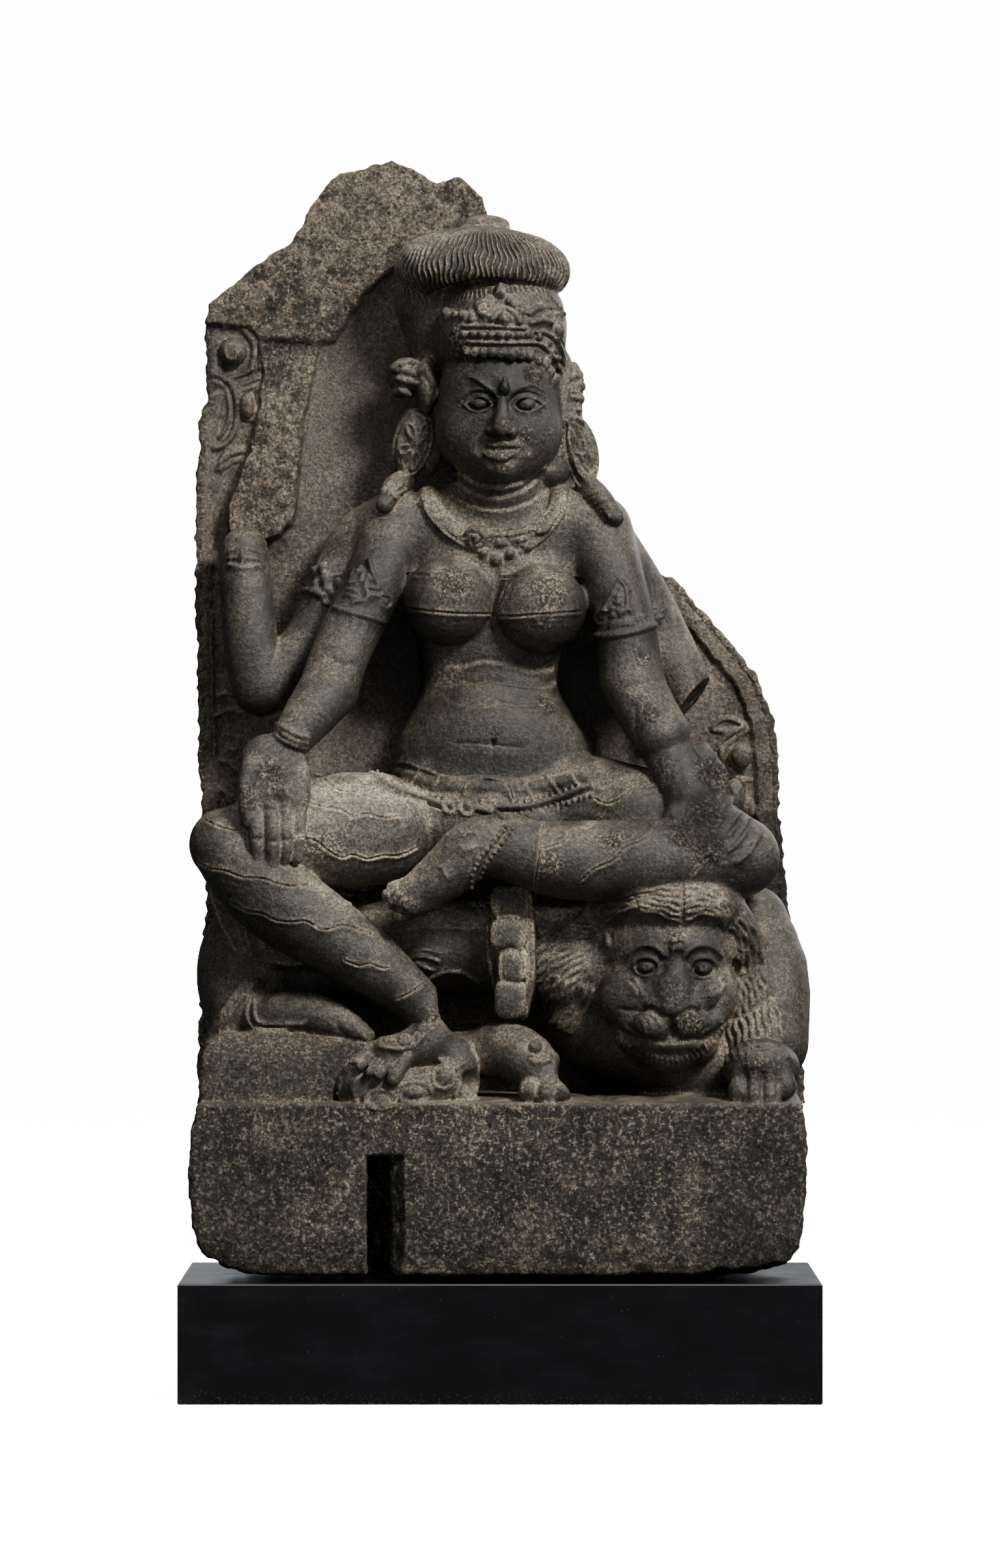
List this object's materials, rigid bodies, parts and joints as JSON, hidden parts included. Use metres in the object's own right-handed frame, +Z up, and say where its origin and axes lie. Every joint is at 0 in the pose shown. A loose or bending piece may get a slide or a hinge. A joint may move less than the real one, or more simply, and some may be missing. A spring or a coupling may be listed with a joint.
{
  "type": "durga figure",
  "caption": "Dark stone stele carved with a seated goddess on her lion against a broken back slab, rising from a rough block on a low black display plinth.",
  "frame": {"origin": "centre of the display plinth's underside", "axes": "+Z up, the goddess faces -Y, +X to the viewer's right"},
  "size_m": [0.546, 0.28, 1.0692],
  "materials": {
    "carved_stone": "fine-grained charcoal stone, smooth and faintly sheened on the bodies, rough and browner where broken or tooled",
    "black_lacquer": "glossy black lacquer with small scuffs"
  },
  "bodies": {
    "root": {"carved_stele": "carved_stone", "display_plinth": "black_lacquer"}
  },
  "joints": []
}
